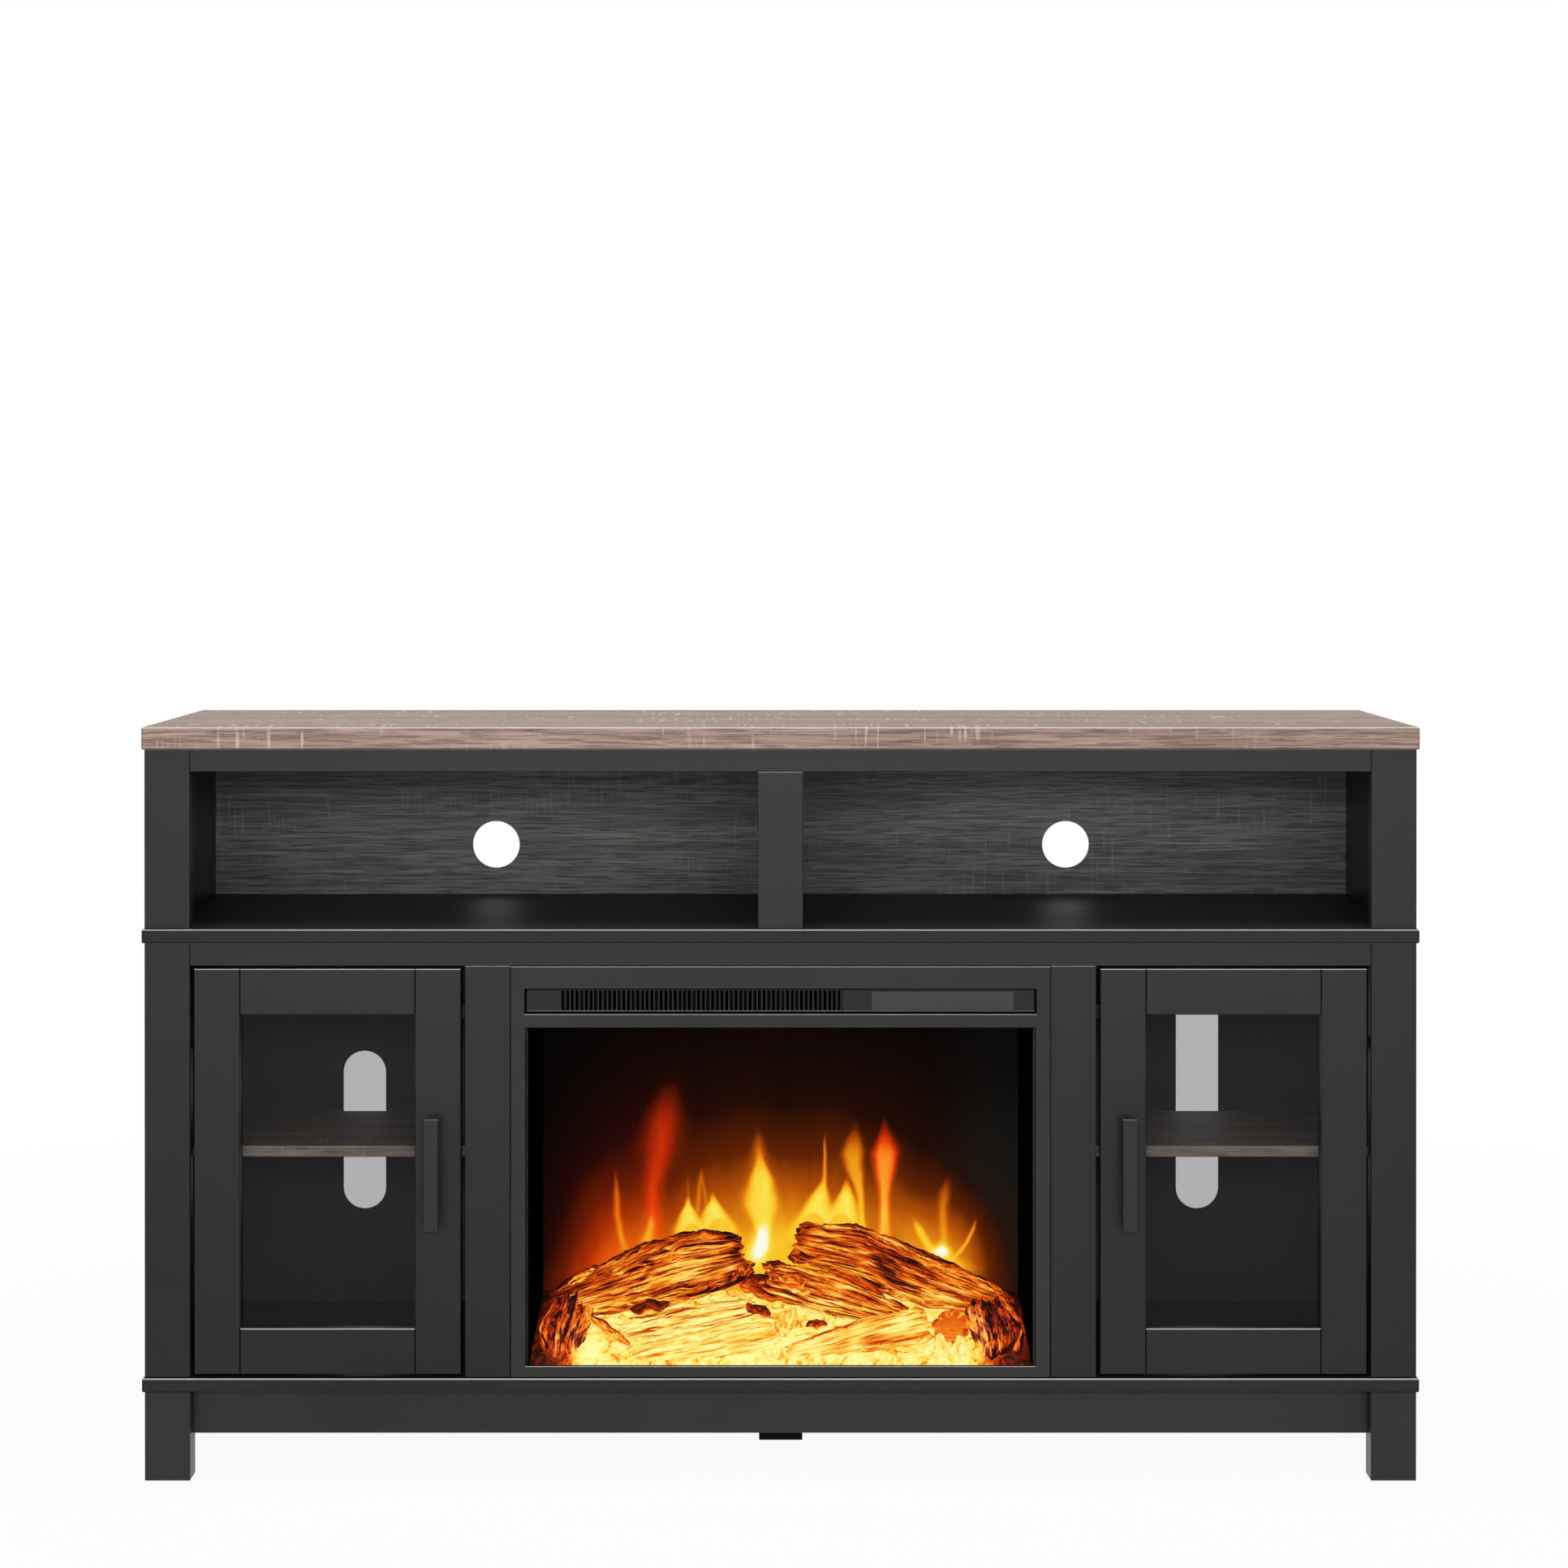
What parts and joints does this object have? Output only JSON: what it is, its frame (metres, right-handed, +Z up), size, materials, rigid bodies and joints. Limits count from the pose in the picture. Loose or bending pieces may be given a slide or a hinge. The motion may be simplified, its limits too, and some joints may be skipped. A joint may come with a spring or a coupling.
{
  "type": "electric fireplace console",
  "caption": "Low media cabinet with an oak-look top, open bays, glazed side doors with shelves and a louvred electric firebox with glowing logs between them.",
  "frame": {"origin": "on the floor under the middle of the piece's bounding box", "axes": "+X to the right seen from the front, +Y towards the back, +Z up"},
  "size_m": [1.365, 0.421, 0.808],
  "materials": {
    "oak": "oak-look laminate with fine horizontal grain",
    "black_wood": "satin black painted frame",
    "black_panel": "black wood-grain laminate",
    "back_board": "dark printed fibreboard",
    "door_glass": "lightly smoked flat glass",
    "fire_glass": "clear tempered glass",
    "handle_metal": "black satin",
    "fitting_steel": "zinc-plated pressed steel",
    "black_plastic": "moulded nylon",
    "bezel_metal": "black powder coat",
    "body_metal": "black coated sheet steel",
    "grille_plastic": "moulded black plastic",
    "lens_plastic": "smoked acrylic",
    "liner_metal": "dark satin",
    "screen_acrylic": "translucent flame screen",
    "ember_resin": "moulded translucent resin, lit from below",
    "log_resin": "moulded resin bark",
    "rotor_foil": "mirror foil",
    "motor_metal": "grey can",
    "board_green": "printed circuit board",
    "blower_metal": "galvanised sheet",
    "heater_fins": "finned heater"
  },
  "bodies": {
    "cabinet": {"top_panel": "oak", "mid_shelf": "black_wood", "bottom_panel": "black_wood", "top_rail": "black_wood", "lower_rail": "black_wood", "divider_post": "black_wood", "upper_posts": "black_wood", "lower_posts": "black_wood", "inner_stiles": "black_wood", "apron": "black_wood", "legs": "black_wood", "center_foot": "black_wood", "divider_panel": "black_panel", "upper_sides": "black_panel", "lower_sides": "black_panel", "partitions": "black_panel", "upper_back": "back_board", "lower_back_left": "back_board", "lower_back_right": "back_board", "front_glass": "fire_glass", "hinge_arms": "fitting_steel", "screws": "fitting_steel", "shelf_pins": "fitting_steel", "insert_brackets": "fitting_steel", "foot_glides": "black_plastic", "door_catches": "black_plastic", "cord_gland": "black_plastic", "insert_bezel": "bezel_metal", "firebox_shell": "body_metal", "firebox_cover": "body_metal", "vent_grille": "grille_plastic", "control_fascia": "grille_plastic", "display_lens": "lens_plastic", "side_liners": "liner_metal", "flame_screen": "screen_acrylic", "ember_bed": "ember_resin", "log_set": "log_resin", "rotor_bearings": "body_metal", "rotor_motor": "motor_metal", "led_board": "board_green", "blower_cassette": "blower_metal", "blower_motor": "motor_metal", "heater": "heater_fins", "control_board": "board_green"},
    "left_door": {"door_frame_left": "black_wood", "door_glass_left": "door_glass", "glass_beads_left": "black_panel", "door_handle_left": "handle_metal", "hinge_cups_left": "fitting_steel", "door_fittings_left": "fitting_steel"},
    "right_door": {"door_frame_right": "black_wood", "door_glass_right": "door_glass", "glass_beads_right": "black_panel", "door_handle_right": "handle_metal", "hinge_cups_right": "fitting_steel", "door_fittings_right": "fitting_steel"},
    "left_shelf": {"shelf_left": "oak"},
    "right_shelf": {"shelf_right": "oak"},
    "blower": {"blower_wheel": "heater_fins"},
    "rotor": {"flame_rotor": "rotor_foil"}
  },
  "joints": [
    {"name": "left_door_hinge", "type": "hinge", "parent": "cabinet", "child": "left_door", "pos_m": [-0.6141, -0.175, 0.34625], "axis": [0, 0, -1], "range_deg": [0, 100]},
    {"name": "right_door_hinge", "type": "hinge", "parent": "cabinet", "child": "right_door", "pos_m": [0.6141, -0.175, 0.34625], "axis": [0, 0, 1], "range_deg": [0, 100]},
    {"name": "left_shelf_lift", "type": "slide", "parent": "cabinet", "child": "left_shelf", "axis": [0, 0, 1], "range_m": [0, 0.03]},
    {"name": "right_shelf_lift", "type": "slide", "parent": "cabinet", "child": "right_shelf", "axis": [0, 0, 1], "range_m": [0, 0.03]},
    {"name": "blower_spin", "type": "hinge", "parent": "cabinet", "child": "blower", "pos_m": [0, -0.1225, 0.52], "axis": [1, 0, 0], "continuous": true},
    {"name": "rotor_spin", "type": "hinge", "parent": "cabinet", "child": "rotor", "pos_m": [0, -0.0185, 0.176], "axis": [1, 0, 0], "continuous": true}
  ]
}
